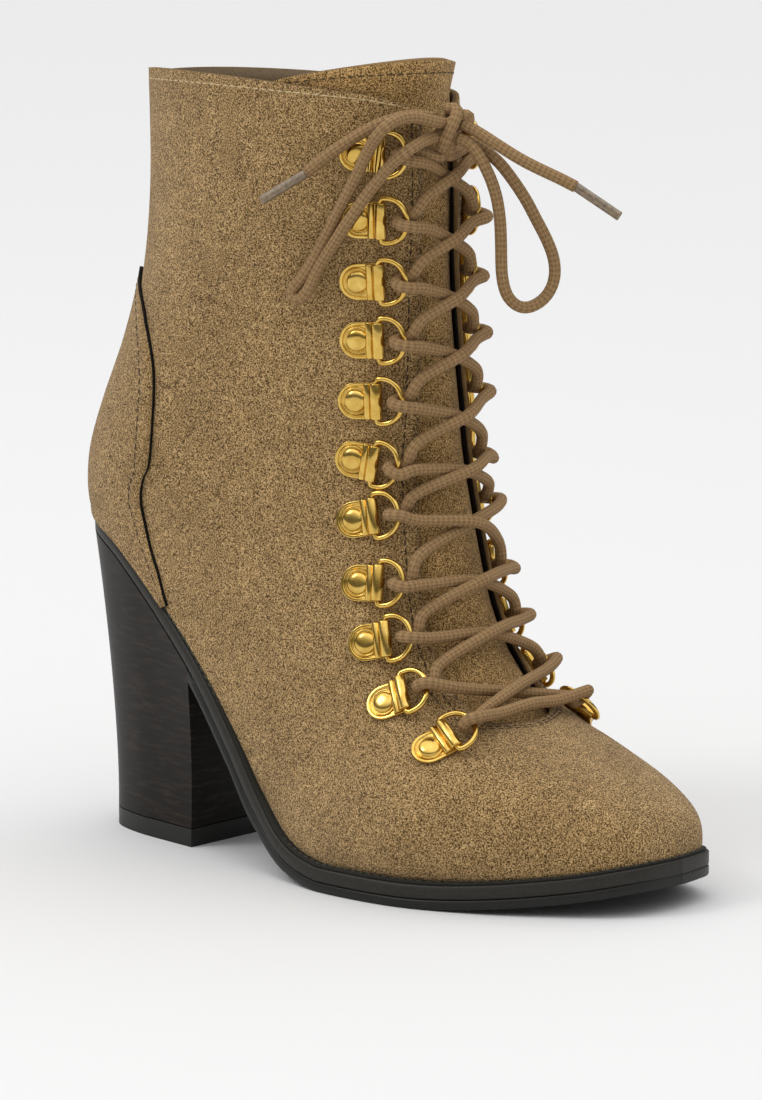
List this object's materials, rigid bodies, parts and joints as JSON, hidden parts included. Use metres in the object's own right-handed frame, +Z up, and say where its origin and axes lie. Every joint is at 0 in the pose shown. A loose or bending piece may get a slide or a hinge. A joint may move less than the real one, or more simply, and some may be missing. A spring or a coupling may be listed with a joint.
{
  "type": "heeled ankle boot",
  "caption": "Lace-up suede ankle boot for the right foot with a tall stacked block heel, a thin sole and gold D-ring lacing up the front.",
  "frame": {"origin": "on the floor, under the middle of the box round the boot without its knot, loops and ends", "axes": "+X from the heel to the toe, +Y to the wearer's left, the inner side of this right boot, +Z up"},
  "size_m": [0.2256, 0.0902, 0.2462],
  "materials": {
    "suede": "matte brushed nap",
    "heel_stack": "dark stain, low sheen",
    "top_piece": "matte",
    "sole_edge": "dark painted edge, low sheen",
    "outsole": "matte",
    "lining": "smooth matte",
    "gold": "polished",
    "lace": "round braid, matte",
    "lace_tip": "clear, slightly cloudy"
  },
  "bodies": {
    "root": {"outsole": "outsole", "midsole": "sole_edge", "insole": "lining", "heel": "heel_stack", "heel_lift": "top_piece", "upper": "suede", "tongue": "suede", "counter": "suede", "plate_outer_1": "gold", "plate_outer_2": "gold", "plate_outer_3": "gold", "plate_outer_4": "gold", "plate_outer_5": "gold", "plate_outer_6": "gold", "plate_outer_7": "gold", "plate_outer_8": "gold", "plate_outer_9": "gold", "plate_outer_10": "gold", "plate_outer_11": "gold", "plate_inner_1": "gold", "plate_inner_2": "gold", "plate_inner_3": "gold", "plate_inner_4": "gold", "plate_inner_5": "gold", "plate_inner_6": "gold", "plate_inner_7": "gold", "plate_inner_8": "gold", "plate_inner_9": "gold", "plate_inner_10": "gold", "plate_inner_11": "gold", "ring_outer_1": "gold", "ring_outer_2": "gold", "ring_outer_3": "gold", "ring_outer_4": "gold", "ring_outer_5": "gold", "ring_outer_6": "gold", "ring_outer_7": "gold", "ring_outer_8": "gold", "ring_outer_9": "gold", "ring_outer_10": "gold", "ring_outer_11": "gold", "ring_inner_1": "gold", "ring_inner_2": "gold", "ring_inner_3": "gold", "ring_inner_4": "gold", "ring_inner_5": "gold", "ring_inner_6": "gold", "ring_inner_7": "gold", "ring_inner_8": "gold", "ring_inner_9": "gold", "ring_inner_10": "gold", "ring_inner_11": "gold", "lace_crossings": "lace", "lace_knot": "lace", "lace_loop_outer": "lace", "lace_loop_inner": "lace", "lace_end_outer": "lace", "lace_end_inner": "lace", "lace_tip_outer": "lace_tip", "lace_tip_inner": "lace_tip"}
  },
  "joints": []
}
